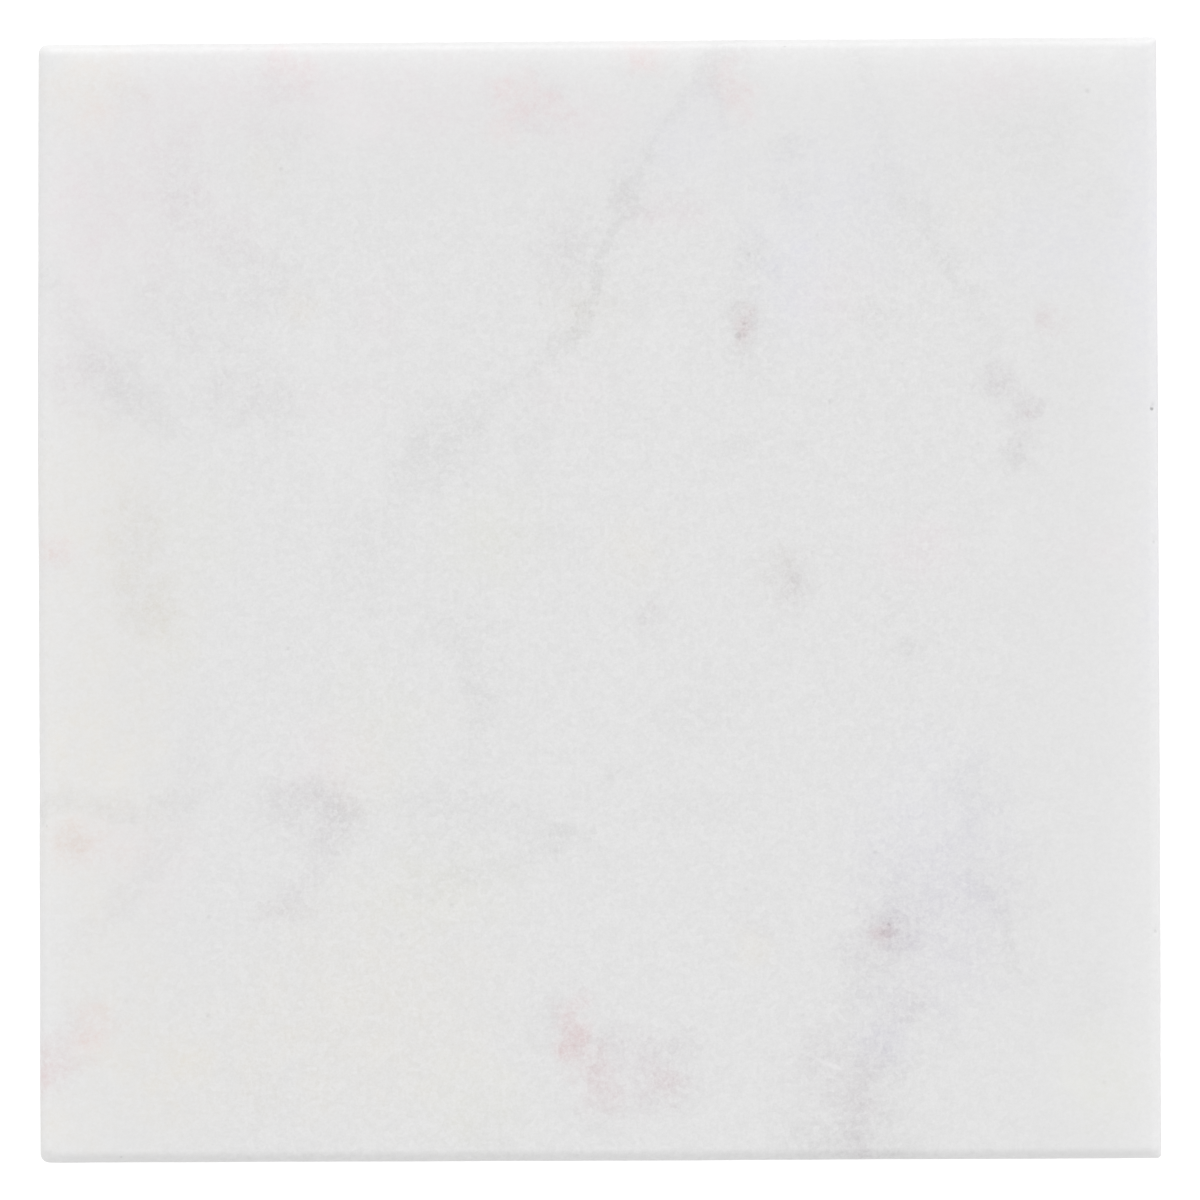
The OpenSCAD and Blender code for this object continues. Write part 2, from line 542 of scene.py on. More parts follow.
CLOUDS = (
    # Beside the main vein
    Cloud(11.2, 46.2, 3.0, 4.6, -15, 4.6, Mineral.MAUVE),
    Cloud(2.8, 35.2, 1.8, 2.0, 0, 3.4, Mineral.MAUVE),
    Cloud(3.0, 37.0, 3.4, 8.0, -32, 1.8, Mineral.GRAPHITE),
    Cloud(7.0, 34.9, 3.8, 1.6, 0, 2.2, Mineral.MAUVE),
    Cloud(14.0, 30.8, 2.0, 2.8, 40, 3.6, Mineral.GRAPHITE),
    Cloud(-3.4, 31.8, 2.8, 4.4, -5, 3.8, Mineral.MAUVE),
    Cloud(-1.6, 27.0, 3.0, 5.0, -15, 2.0, Mineral.GRAPHITE),
    Cloud(-5.8, 45.0, 4.2, 3.4, -15, 4.2, Mineral.MAUVE),
    Cloud(4.3, 47.6, 3.2, 2.4, 0, 3.0, Mineral.GRAPHITE),
    Cloud(17.4, 40.6, 2.2, 1.6, 0, 3.0, Mineral.GRAPHITE),
    Cloud(17.5, 36.6, 2.6, 2.2, 0, 2.8, Mineral.GRAPHITE),
    Cloud(-14.0, 14.4, 6.0, 3.8, 42, 3.0, Mineral.GRAPHITE),
    Cloud(-6.0, 15.0, 2.4, 4.6, -10, 1.6, Mineral.GRAPHITE),
    # Around the dark spot near the rear
    Cloud(13.2, 24.8, 2.2, 3.6, 0, 6.4, Mineral.GRAPHITE),
    Cloud(14.2, 20.2, 2.0, 1.8, 0, 2.2, Mineral.GRAPHITE),
    Cloud(12.4, 14.0, 1.9, 1.2, 0, 2.8, Mineral.GRAPHITE),
    Cloud(18.2, 13.8, 1.2, 1.4, 0, 2.8, Mineral.GRAPHITE),
    # Around the right vein and the hook
    Cloud(26.4, 34.4, 3.6, 5.4, 25, 1.5, Mineral.GRAPHITE),
    Cloud(38.5, 42.0, 6.0, 5.0, -20, 1.8, Mineral.GRAPHITE),
    Cloud(45.0, 35.6, 3.2, 2.6, 0, 2.0, Mineral.GRAPHITE),
    Cloud(25.0, 25.6, 2.6, 2.0, 0, 2.6, Mineral.GRAPHITE),
    Cloud(40.2, 24.9, 1.7, 1.4, 0, 6.6, Mineral.MAUVE),
    Cloud(35.6, 20.3, 2.2, 2.4, 0, 6.2, Mineral.MAUVE),
    Cloud(38.2, 14.8, 2.2, 3.4, -15, 4.4, Mineral.MAUVE),
    Cloud(37.2, 13.0, 1.6, 2.2, -15, 3.6, Mineral.GRAPHITE),
    Cloud(42.0, 20.0, 5.0, 3.0, -60, 1.2, Mineral.GRAPHITE),
    # Spots right of the middle
    Cloud(17.5, 1.8, 2.0, 3.0, 0, 6.0, Mineral.MAUVE),
    Cloud(16.4, 2.2, 3.6, 3.6, 0, 2.2, Mineral.UMBER),
    Cloud(4.6, -1.5, 1.3, 1.9, 0, 3.2, Mineral.MAUVE),
    Cloud(28.0, -4.6, 1.9, 1.7, 0, 4.6, Mineral.GRAPHITE),
    Cloud(9.0, -9.8, 5.0, 2.8, 25, 1.6, Mineral.GRAPHITE),
    Cloud(0.6, -16.0, 1.2, 1.2, 0, 2.4, Mineral.GRAPHITE),
    # Left side
    Cloud(-43.8, 19.6, 5.8, 4.4, -25, 4.8, Mineral.MAUVE),
    Cloud(-32.0, 18.6, 5.4, 3.4, 0, 3.4, Mineral.MAUVE),
    Cloud(-29.5, 29.0, 5.6, 3.0, -42, 2.8, Mineral.MAUVE),
    Cloud(-33.6, 33.0, 3.0, 2.2, -30, 2.4, Mineral.MAUVE),
    Cloud(-37.6, 37.0, 3.0, 7.0, -6, 2.0, Mineral.MAUVE),
    Cloud(-37.0, 35.6, 2.2, 2.6, 0, 2.4, Mineral.MAUVE),
    Cloud(-29.0, 41.5, 3.4, 4.4, 0, 2.2, Mineral.GRAPHITE),
    Cloud(-28.4, 47.0, 3.4, 2.6, 0, 2.6, Mineral.MAUVE),
    Cloud(-42.2, 45.4, 3.4, 1.8, -40, 2.2, Mineral.GRAPHITE),
    Cloud(-44.5, 36.0, 3.0, 6.0, 0, 1.3, Mineral.GRAPHITE),
    Cloud(-35.0, 25.0, 7.0, 5.5, 0, 1.6, Mineral.MAUVE),
    Cloud(-41.6, 6.4, 3.0, 3.8, 0, 3.6, Mineral.UMBER),
    Cloud(-48.8, 4.2, 2.2, 1.6, 0, 4.0, Mineral.MAUVE),
    Cloud(-40.4, -0.2, 4.0, 3.2, -20, 4.2, Mineral.UMBER),
    Cloud(-41.2, 2.4, 3.6, 7.0, 0, 1.2, Mineral.GRAPHITE),
    Cloud(-47.0, -21.8, 2.0, 1.8, 0, 6.4, Mineral.UMBER),
    Cloud(-48.4, -40.2, 3.0, 3.4, 0, 6.0, Mineral.MAUVE),
    Cloud(-49.0, -43.0, 2.4, 2.4, 0, 3.8, Mineral.MAUVE),
    Cloud(-46.6, -37.2, 2.6, 2.6, 0, 3.0, Mineral.MAUVE),
    Cloud(-43.6, -37.6, 2.2, 1.6, 30, 2.0, Mineral.MAUVE),
    Cloud(-25.6, -18.8, 5.8, 3.4, -10, 4.4, Mineral.MAUVE),
    Cloud(-27.4, -27.8, 3.6, 1.6, 4, 2.4, Mineral.MAUVE),
    # Middle of the lower half
    Cloud(-10.0, -48.0, 3.4, 2.2, 0, 2.0, Mineral.GRAPHITE),
    Cloud(7.6, -18.8, 6.0, 2.2, 8, 1.8, Mineral.GRAPHITE),
    Cloud(-13.0, -22.0, 6.0, 4.0, 0, 1.2, Mineral.GRAPHITE),
    Cloud(13.2, -28.9, 3.8, 1.6, -12, 2.0, Mineral.MAUVE),
    Cloud(-11.8, -4.6, 3.6, 8.0, 14, 1.9, Mineral.GRAPHITE),
    # Right of the middle of the lower half
    Cloud(30.6, -27.8, 8.8, 9.4, 20, 4.2, Mineral.MAUVE),
    Cloud(33.4, -17.2, 3.4, 3.6, 0, 3.2, Mineral.GRAPHITE),
    Cloud(36.0, -26.0, 4.6, 5.6, 0, 1.3, Mineral.GRAPHITE),
    Cloud(25.4, -30.4, 3.8, 3.4, 20, 6.0, Mineral.MAUVE),
    Cloud(26.6, -26.6, 3.4, 3.2, 0, 3.0, Mineral.GRAPHITE),
    Cloud(24.2, -33.8, 4.0, 4.4, 0, 2.4, Mineral.GRAPHITE),
    Cloud(24.6, -39.6, 3.0, 3.8, 0, 2.0, Mineral.GRAPHITE),
    Cloud(26.0, -43.4, 2.6, 3.6, 0, 2.6, Mineral.GRAPHITE),
    Cloud(25.8, -48.4, 3.0, 2.6, 0, 4.4, Mineral.GRAPHITE),
    Cloud(21.6, -42.6, 6.4, 7.4, 0, 3.6, Mineral.MAUVE),
    Cloud(17.4, -47.4, 3.0, 3.0, 0, 2.4, Mineral.GRAPHITE),
    Cloud(29.4, -38.6, 3.4, 3.4, 0, 2.0, Mineral.GRAPHITE),
    Cloud(20.8, -48.6, 4.0, 2.4, 0, 3.4, Mineral.GRAPHITE),
    # Red stain at the front
    Cloud(-2.6, -38.6, 2.2, 2.6, 15, 6.0, Mineral.ROSE),
    Cloud(-1.2, -41.0, 1.6, 2.4, 25, 3.4, Mineral.ROSE),
    Cloud(-4.8, -38.2, 1.8, 2.8, 0, 2.6, Mineral.GRAPHITE),
    Cloud(1.2, -40.2, 2.6, 2.6, 0, 4.2, Mineral.MAUVE),
    Cloud(-1.8, -40.4, 2.4, 2.2, 0, 2.8, Mineral.GRAPHITE),
    Cloud(0.2, -46.4, 2.2, 2.0, 0, 2.2, Mineral.GRAPHITE),
    Cloud(-2.8, -36.0, 2.4, 2.0, 0, 3.4, Mineral.MAUVE),
    Cloud(0.0, -43.9, 2.2, 3.0, 10, 5.6, Mineral.MAUVE),
    Cloud(5.6, -43.6, 3.2, 2.2, 15, 5.0, Mineral.MAUVE),
    Cloud(6.0, -40.0, 3.6, 2.0, 10, 3.2, Mineral.MAUVE),
    Cloud(4.0, -42.6, 6.4, 4.4, 0, 3.2, Mineral.MAUVE),
)

# Stains that shift the tone of the stone and hardly darken it, and a lilac cast painted along the lit right
# edge
BLUSHES = (
    Cloud(-46.0, 10.0, 8.0, 9.0, 0, 2.1, Mineral.CREAM_BLUSH),
    Cloud(-44.5, -5.0, 8.0, 12.0, 0, 1.8, Mineral.CREAM_BLUSH),
    Cloud(-46.0, -18.0, 9.0, 10.0, 0, 2.1, Mineral.CREAM_BLUSH),
    Cloud(-44.5, -31.0, 6.0, 7.0, 0, 1.3, Mineral.CREAM_BLUSH),
    Cloud(-48.6, -46.4, 4.0, 3.4, 0, 2.0, Mineral.CREAM_BLUSH),
    Cloud(-38.0, -41.0, 12.0, 9.0, 0, 1.6, Mineral.CREAM_BLUSH),
    Cloud(-20.0, -36.0, 13.0, 12.0, 0, 2.3, Mineral.CREAM_BLUSH),
    Cloud(-11.0, -45.0, 6.0, 4.6, 0, 2.0, Mineral.OLIVE_BLUSH),
    Cloud(-35.8, 6.5, 3.6, 6.5, 0, 1.7, Mineral.OLIVE_BLUSH),
    Cloud(-38.0, -3.0, 2.6, 5.0, 0, 0.9, Mineral.OLIVE_BLUSH),
    Cloud(-9.5, 5.8, 5.6, 4.8, 20, 2.4, Mineral.OLIVE_BLUSH),
    Cloud(-20.6, -12.4, 4.8, 8.4, 0, 2.3, Mineral.OLIVE_BLUSH),
    Cloud(-15.0, -25.5, 9.0, 5.0, 0, 1.8, Mineral.OLIVE_BLUSH),
    Cloud(13.8, -31.0, 2.2, 1.8, 0, 2.0, Mineral.CREAM_BLUSH),
    Cloud(44.8, -42.5, 4.6, 6.0, 0, 2.2, Mineral.OLIVE_BLUSH),
    Cloud(-45.5, 46.0, 5.2, 4.4, 0, 2.8, Mineral.CREAM_BLUSH),
    Cloud(-26.4, 26.4, 2.2, 2.0, 0, 2.0, Mineral.CREAM_BLUSH),
    Cloud(-26.0, 45.0, 24.0, 5.0, 0, 1.4, Mineral.PINK_BLUSH),
    Cloud(-42.0, 36.0, 8.0, 12.0, 0, 1.2, Mineral.PINK_BLUSH),
    Cloud(-46.6, 36.0, 4.0, 5.0, 0, 1.2, Mineral.PINK_BLUSH),
    Cloud(-46.6, 25.0, 3.6, 9.0, 0, 0.9, Mineral.PINK_BLUSH),
    Cloud(-33.5, 34.0, 6.0, 3.4, -35, 0.8, Mineral.PINK_BLUSH),
    Cloud(-22.0, 18.0, 6.0, 1.8, 0, 0.8, Mineral.PINK_BLUSH),
    Cloud(6.4, 34.4, 4.8, 2.0, 0, 1.6, Mineral.PINK_BLUSH),
    Cloud(35.4, 45.8, 6.5, 3.0, 0, 1.3, Mineral.PINK_BLUSH),
    Cloud(-38.2, -24.0, 2.4, 5.0, -20, 0.9, Mineral.PINK_BLUSH),
    Cloud(-27.4, 47.8, 3.0, 2.4, 0, 2.2, Mineral.SALMON_BLUSH),
    Cloud(-7.2, 45.8, 2.6, 2.2, 0, 4.4, Mineral.SALMON_BLUSH),
    Cloud(-8.4, 42.4, 1.7, 2.6, 0, 2.8, Mineral.SALMON_BLUSH),
    Cloud(-4.6, 44.4, 2.8, 1.7, 0, 2.6, Mineral.SALMON_BLUSH),
    Cloud(3.9, 48.8, 2.6, 2.0, 0, 3.2, Mineral.SALMON_BLUSH),
    Cloud(12.3, 45.8, 1.8, 3.2, 22, 3.4, Mineral.SALMON_BLUSH),
    Cloud(-48.2, 4.5, 2.6, 1.6, 0, 2.8, Mineral.SALMON_BLUSH),
    Cloud(-47.0, -21.8, 2.6, 2.4, 0, 2.8, Mineral.SALMON_BLUSH),
    Cloud(-48.4, -40.4, 5.0, 2.8, 45, 2.4, Mineral.SALMON_BLUSH),
    Cloud(-45.4, -38.2, 2.8, 2.4, 30, 2.0, Mineral.SALMON_BLUSH),
    Cloud(-49.2, -42.4, 2.0, 1.8, 0, 2.0, Mineral.SALMON_BLUSH),
    Cloud(-2.5, -38.4, 2.0, 3.8, 0, 3.8, Mineral.SALMON_BLUSH),
    Cloud(-0.2, -43.0, 2.2, 4.0, 15, 3.2, Mineral.SALMON_BLUSH),
    Cloud(5.8, -43.2, 2.2, 1.9, 0, 2.0, Mineral.SALMON_BLUSH),
    Cloud(25.2, -29.9, 1.3, 0.9, 0, 2.6, Mineral.SALMON_BLUSH),
    Cloud(13.0, 24.4, 1.1, 2.1, 0, 2.8, Mineral.SALMON_BLUSH),
    Cloud(40.2, 24.9, 1.8, 1.5, 0, 2.4, Mineral.SALMON_BLUSH),
    Cloud(20.5, 35.4, 10.0, 8.0, 35, 1.9, Mineral.LAVENDER_BLUSH),
    Cloud(8.0, 41.0, 6.0, 4.6, 35, 1.8, Mineral.LAVENDER_BLUSH),
    Cloud(17.5, 27.0, 4.0, 6.0, 0, 1.8, Mineral.LAVENDER_BLUSH),
    Cloud(41.0, 31.6, 8.0, 5.0, 0, 1.6, Mineral.LAVENDER_BLUSH),
    # Painted light: a lilac cast along the right edge, where it catches more light
    Cloud(49.5, 30.0, 4.0, 20.0, 0, 2.2, Mineral.LAVENDER_BLUSH),
    Cloud(49.8, 0.0, 2.4, 12.0, 0, 1.6, Mineral.LAVENDER_BLUSH),
    Cloud(29.8, -24.6, 8.4, 14.0, 0, 2.4, Mineral.LAVENDER_BLUSH),
    Cloud(25.2, -39.0, 3.0, 3.4, 0, 2.4, Mineral.LAVENDER_BLUSH),
)

# Small stains with a clear outline
SPOTS = (
    Cloud(13.1, 24.7, 1.4, 2.5, 0, 4.2, Mineral.MAUVE),
    Cloud(13.0, 24.1, 0.7, 1.0, 0, 5.0, Mineral.ROSE),
    Cloud(25.6, -29.8, 2.4, 2.2, 20, 6.4, Mineral.MAUVE),
    Cloud(25.4, -29.8, 1.15, 0.85, 10, 12.0, Mineral.ROSE),
    Cloud(24.3, -29.9, 0.55, 0.65, 0, 6.0, Mineral.ROSE),
    Cloud(38.5, 16.6, 0.6, 0.5, 0, 6.0, Mineral.ROSE),
    Cloud(16.9, 3.4, 1.1, 1.3, 0, 2.6, Mineral.UMBER),
    Cloud(4.7, -0.5, 0.5, 0.5, 0, 3.0, Mineral.ROSE),
    Cloud(-25.6, -17.6, 0.7, 0.6, 0, 3.0, Mineral.ROSE),
    Cloud(-22.7, -18.5, 0.8, 0.6, 0, 2.6, Mineral.ROSE),
    Cloud(-2.8, -38.2, 1.0, 1.3, 15, 4.0, Mineral.ROSE),
    Cloud(24.1, -45.6, 0.7, 0.9, 0, 2.0, Mineral.ROSE),
    Cloud(20.6, -41.6, 1.6, 0.28, -22, 9.0, Mineral.CALCITE),
)

# The two darkest stains hold a nest of dark grains: place, reach along X and Y, and strength
NESTS = (
    (13.0, 24.8, 0.5, 1.5, 17.0),
    (25.7, -29.5, 0.9, 0.5, 12.0),
)
GRAINS_IN_NEST = 5
LONE_GRAINS = 23
FAINT_TINTS = 9
GRAIN_SEED = 31
TINT_SEED = 47
# Distance from the middle of the slab that drawn grains and tints keep to
STREWN = 46.0
# Lowest and highest of what is drawn; a grain in a nest has a share of the nest's strength
GRAIN_SIZE = (0.2, 0.34)
NEST_SHARE = (0.6, 1.3)
LONE_STRENGTH = (4.0, 9.0)
TINT_SIZE = (2.0, 5.0)
TINT_STRENGTH = (0.8, 1.8)


def strewn_grains() -> tuple[Cloud, ...]:
    """Draws dark grains: some in each nest, the others anywhere on the face.

    Returns:
        The grains, each a very small stain.
    """
    draw = random.Random(GRAIN_SEED)
    places = []
    for middle_x, middle_y, wide, deep, strength in NESTS:
        for _ in range(GRAINS_IN_NEST):
            x, y = middle_x + draw.uniform(-wide, wide), middle_y + draw.uniform(-deep, deep)
            places.append((x, y, strength * draw.uniform(*NEST_SHARE)))
    for _ in range(LONE_GRAINS):
        x, y = draw.uniform(-STREWN, STREWN), draw.uniform(-STREWN, STREWN)
        places.append((x, y, draw.uniform(*LONE_STRENGTH)))
    made = []
    for x, y, strength in places:
        size = draw.uniform(*GRAIN_SIZE)
        made.append(Cloud(x, y, size, size, 0.0, strength, Mineral.GRAPHITE))
    return tuple(made)


def faint_tints() -> tuple[Cloud, ...]:
    """Draws the faint tints and paler places that natural stone has all over.

    Returns:
        The tints, as many of each of four minerals.
    """
    draw = random.Random(TINT_SEED)
    minerals = (Mineral.CALCITE, Mineral.PINK_BLUSH, Mineral.CREAM_BLUSH, Mineral.GRAPHITE)
    made = []
    for mineral in minerals:
        for _ in range(FAINT_TINTS):
            x, y = draw.uniform(-STREWN, STREWN), draw.uniform(-STREWN, STREWN)
            long, wide = draw.uniform(*TINT_SIZE), draw.uniform(*TINT_SIZE)
            made.append(Cloud(x, y, long, wide, 0.0, draw.uniform(*TINT_STRENGTH), mineral))
    return tuple(made)


# Share of a nick's width that its painted dark mark fills
DARK_FILL_SHARE = 0.7


@dataclass(frozen=True)
class Nick:
    """A small hollow knocked out of an edge, in millimetres from the middle of the slab."""

    x: float
    y: float
    wide: float
    long: float
    deep: float
    # Strength of a dark mark painted into the hollow
    dark_fill: float = 0.0

    def mark(self) -> Cloud:
        """The dark mark painted into the hollow."""
        wide, long = DARK_FILL_SHARE * self.wide, DARK_FILL_SHARE * self.long
        return Cloud(self.x, self.y, wide, long, 0.0, self.dark_fill, Mineral.GRAPHITE)


NICK_SEED = 12
NICKS_ON_SIDE = 2
# A drawn nick: how far out it stands, where along its side, its half length and width, depth and dark mark
NICK_OUT = 49.5
NICK_ALONG = (-44.0, 44.0)
NICK_LONG = 0.25
NICK_WIDE = 0.13
NICK_DEEP = (0.06, 0.1)
NICK_DARK_FILL = 14.0


def worn_nicks() -> tuple[Nick, ...]:
    """Gives the notch that shows at the right edge, two worn corners, and nicks drawn along each side.

    Returns:
        The nicks.
    """
    draw = random.Random(NICK_SEED)
    nicks = [
        # The notch at the right edge has a strong dark mark painted into it; the two worn corners have none
        Nick(49.4, 17.0, 0.17, 0.26, 0.17, 85.0),
        Nick(-49.3, -49.3, 0.4, 0.4, 0.16),
        Nick(49.5, -49.4, 0.25, 0.25, 0.12),
    ]
    for side in (-NICK_OUT, NICK_OUT):
        for _ in range(NICKS_ON_SIDE):
            along, deep = draw.uniform(*NICK_ALONG), draw.uniform(*NICK_DEEP)
            nicks.append(Nick(along, side, NICK_LONG, NICK_WIDE, deep, NICK_DARK_FILL))
            along, deep = draw.uniform(*NICK_ALONG), draw.uniform(*NICK_DEEP)
            nicks.append(Nick(side, along, NICK_WIDE, NICK_LONG, deep, NICK_DARK_FILL))
    return tuple(nicks)


class MarbleFinish:
    """Honed pale marble: base tone, stains, sugary grain, worn edges, a sawn underside, and light painted in
    along three edges.
    """

    base = (0.7625, 0.761, 0.762)
    # Density that takes one step of an eight-bit picture from this pale stone
    step = 0.0103
    # The pattern is drawn a little larger than the slab, and off its middle
    stretch = 1.0056
    shift = (-0.07, 0.06)
    # Sideways run of the pattern for each millimetre of depth
    dip = (0.55, -0.35, 0.0)
    # Half of the nominal side and of the real one, and the radius of the eased edge
    nominal = 50.0
    half = 49.93
    edge_r = 1.1
    # Size of the mottling, how far it sways the stains either way, and how much it breaks up the veins
    mottle_size = 2.8
    sway = 2.75
    broken = 2.4
    # How far it moves the outline of a cloud and of a small stain
    ragged = 1.5
    ragged_small = 0.4
    # Sizes of the sugary grain, its lumps and single crystals
    sugar_size = 0.42
    lump_size = 1.7
    crystal_size = 0.55
    # How far the grain makes the stone lighter and darker, and its lumps too
    grain_swing = 2.4
    # Light painted into the colour along the rear, right and left side, paler where light gets in through the
    # sides: its strength, and its reach inwards
    rear_painted_light = (9.5, 2.2)
    right_painted_light = (4.7, 3.6)
    left_painted_light = (3.6, 4.0)
    # Width of the band along an edge that wears
    wear_band = 1.0
    # Middle of the saw's arcs on the underside, and how tight they are
    saw_middle = (240.0, -90.0, 0.0)
    saw_ripple = 4.1

    def __init__(self, top: float, bottom: float, nicks: Sequence[Nick]) -> None:
        """Takes the slab's heights and nicks.

        Args:
            top: height of the face, in millimetres.
            bottom: height of the underside, in millimetres.
            nicks: the hollows in its edges.
        """
        self.top = top
        self.bottom = bottom
        self.nicks = nicks
        self.board = Board("honed_marble")

    def stain(self, total: Signal, mask: Signal, strength: float, mineral: Mineral) -> bpy.types.NodeSocket:
        """Adds one stain, or a band of painted light, to the density: its strength in a mineral, where the
        mask is one.
        """
        full = tuple(strength * part for part in mineral.value)
        return self.board.vector("ADD", self.board.scaled(full, mask), total)

    def clouds(
        self, total: Signal, place: Signal, rough: Signal, clouds: Sequence[Cloud]
    ) -> bpy.types.NodeSocket:
        """Adds soft-edged stains: three of one mineral share each set of vector nodes.

        Args:
            total: density so far.
            place: places on the stone.
            rough: mottling that makes the outlines ragged, about minus one.
            clouds: the stains.

        Returns:
            The new density.
        """
        board = self.board
        x, y, _ = board.split(place)
        across, ahead, edge = board.triple(x), board.triple(y), board.triple(rough)
        # Fills a set of three that has fewer stains: a frame in which every place is past the rim
        idle = (0.0, 0.0, 9.0, 0.0, 0.0, 9.0)
        for mineral in Mineral:
            alike = [cloud for cloud in clouds if cloud.mineral is mineral]
            alike.sort(key=lambda cloud: cloud.turn != 0)
            amount: Signal = (0.0, 0.0, 0.0)
            for first in range(0, len(alike), 3):
                three = alike[first : first + 3]
                spare = 3 - len(three)
                frames = [cloud.frame() for cloud in three] + [idle] * spare
                strengths = tuple([cloud.strength for cloud in three] + [0.0] * spare)
                run_x, run_y, run_at, side_x, side_y, side_at = zip(*frames)
                turned = any(cloud.turn for cloud in three)
                run_from = board.vector("MULTIPLY_ADD", ahead, run_y, run_at) if turned else run_at
                side_from = board.vector("MULTIPLY_ADD", across, side_x, side_at) if turned else side_at
                run = board.vector("MULTIPLY_ADD", across, run_x, run_from)
                side = board.vector("MULTIPLY_ADD", ahead, side_y, side_from)
                reach = board.vector("MULTIPLY_ADD", run, run, edge)
                reach = board.vector("MULTIPLY_ADD", side, side, reach)
                inside = board.vector("MINIMUM", reach, (0.0, 0.0, 0.0))
                inside = board.vector("MULTIPLY", inside, inside)
                amount = board.vector("MULTIPLY_ADD", inside, strengths, amount)
            if alike:
                total = self.stain(total, board.dot(amount, (1.0, 1.0, 1.0)), 1.0, mineral)
        return total

    def vein(self, total: Signal, place: Signal, vein: Vein) -> bpy.types.NodeSocket:
        """Adds a seam: curves along its chord give its middle line, width and strength.

        Args:
            total: density so far.
            place: places on the stone.
            vein: the seam.

        Returns:
            The new density.
        """
        board = self.board
        start, end = Vector(vein.run[0][:2]), Vector(vein.run[-1][:2])
        chord = end - start
        along, across = chord.normalized(), chord.normalized().orthogonal()
        across = across if along.cross(across) > 0 else -across
        corner = start - across * chord.length / 2
        most_wide = max(point[2] for point in vein.run)
        most_strong = max(point[3] for point in vein.run)
        ahead, aside = along / chord.length, across / chord.length
        run = board.along(place, ahead.to_3d(), corner.dot(ahead))
        side = board.along(place, aside.to_3d(), corner.dot(aside))
        triple = board.add("ShaderNodeCombineColor", run, run, run).outputs[0]
        curves = board.add("ShaderNodeRGBCurve", 1.0, triple)
        for channel in range(3):
            curve = curves.mapping.curves[channel]
            for number, (x, y, wide, strength) in enumerate(vein.run):
                away = Vector((x, y)) - corner
                height = (away.dot(across) / chord.length, wide / most_wide, strength / most_strong)[channel]
                at = away.dot(along) / chord.length
                if number == 0:
                    curve.points[0].location = (0.0, height)
                elif number == len(vein.run) - 1:
                    curve.points[-1].location = (1.0, height)
                else:
                    curve.points.new(at, height)
        curves.mapping.extend = "HORIZONTAL"
        curves.mapping.update()
        middle, width, strength = board.add("ShaderNodeSeparateColor", curves.outputs[0]).outputs
        gap = board.math("ABSOLUTE", board.math("SUBTRACT", side, middle))
        edge = most_wide * 0.5 / chord.length
        mask = board.fade(board.math("DIVIDE", gap, width), 0.0, 1.8 * edge)
        return self.stain(total, board.math("MULTIPLY", mask, strength), most_strong, vein.mineral)

    def make(self) -> bpy.types.Material:
        """Builds the finish.

        Returns:
            The material.
        """
        board = self.board
        place = board.add("ShaderNodeTexCoord").outputs["Object"]
        scale = self.stretch / MM
        stone = board.moved(
            place,
            (self.shift[0], self.shift[1], -self.top * self.stretch),
            0.0,
            (scale, scale, scale),
            "POINT",
        )
        height = board.split(stone)[2]
        slanted = board.vector("MULTIPLY_ADD", height, self.dip, stone)
        drift = board.noise(slanted, self.mottle_size, 4.0, 0.7).outputs["Color"]
        set_back = board.vector("ADD", slanted, (-self.sway, -self.sway, 0.0))
        loose = board.vector("MULTIPLY_ADD", drift, (2 * self.sway, 2 * self.sway, 0.0), set_back)
        mottle = board.split(drift)[2]
        rough = board.swing(mottle, -1.0, self.ragged)

        # Each stain is added as soon as it is made: the renderer can't hold many unused values
        total: Signal = (0.0, 0.0, 0.0)
        for vein in VEINS:
            total = self.vein(total, loose, vein)
        total = board.scaled(total, board.swing(mottle, 1.0, self.broken))
        total = self.clouds(total, loose, rough, CLOUDS + BLUSHES + faint_tints())
        # Dark marks painted into the nicks' hollows
        marks = tuple(nick.mark() for nick in self.nicks if nick.dark_fill)
        small = SPOTS + strewn_grains() + marks
        total = self.clouds(total, slanted, board.swing(mottle, -1.0, self.ragged_small), small)

        # Sugary grain, which shows more inside the stains and less towards three edges
        sugar = board.noise(stone, self.sugar_size, 2.0, 0.9).outputs[0]
        lumps = board.noise(stone, self.lump_size, 1.0, 0.5).outputs[0]
        tone = board.split(board.cells(stone, self.crystal_size).outputs["Color"])[0]
        grain = board.swing(sugar, 0.0, self.grain_swing)
        flecks = board.math("MULTIPLY_ADD", tone, 0.5, board.math("ADD", grain, -0.25))
        total = board.scaled(total, board.math("MULTIPLY_ADD", flecks, 0.8, 1.0))
        x, y, _ = board.split(stone)
        calm = board.fade(board.math("MAXIMUM", board.math("ABSOLUTE", x), y), 28.0, 47.0, 1.0, 0.55)
        plain = board.math("MULTIPLY_ADD", flecks, 7.8, board.swing(lumps, 0.0, self.grain_swing))
        total = self.stain(total, board.math("MULTIPLY", plain, calm), 1.0, Mineral.GRAPHITE)

        # Painted light: the colour is made paler along the rear, right and left edges
        total = self.paint_edge_light(total, stone)
        return self.dress(total, place, stone, grain)

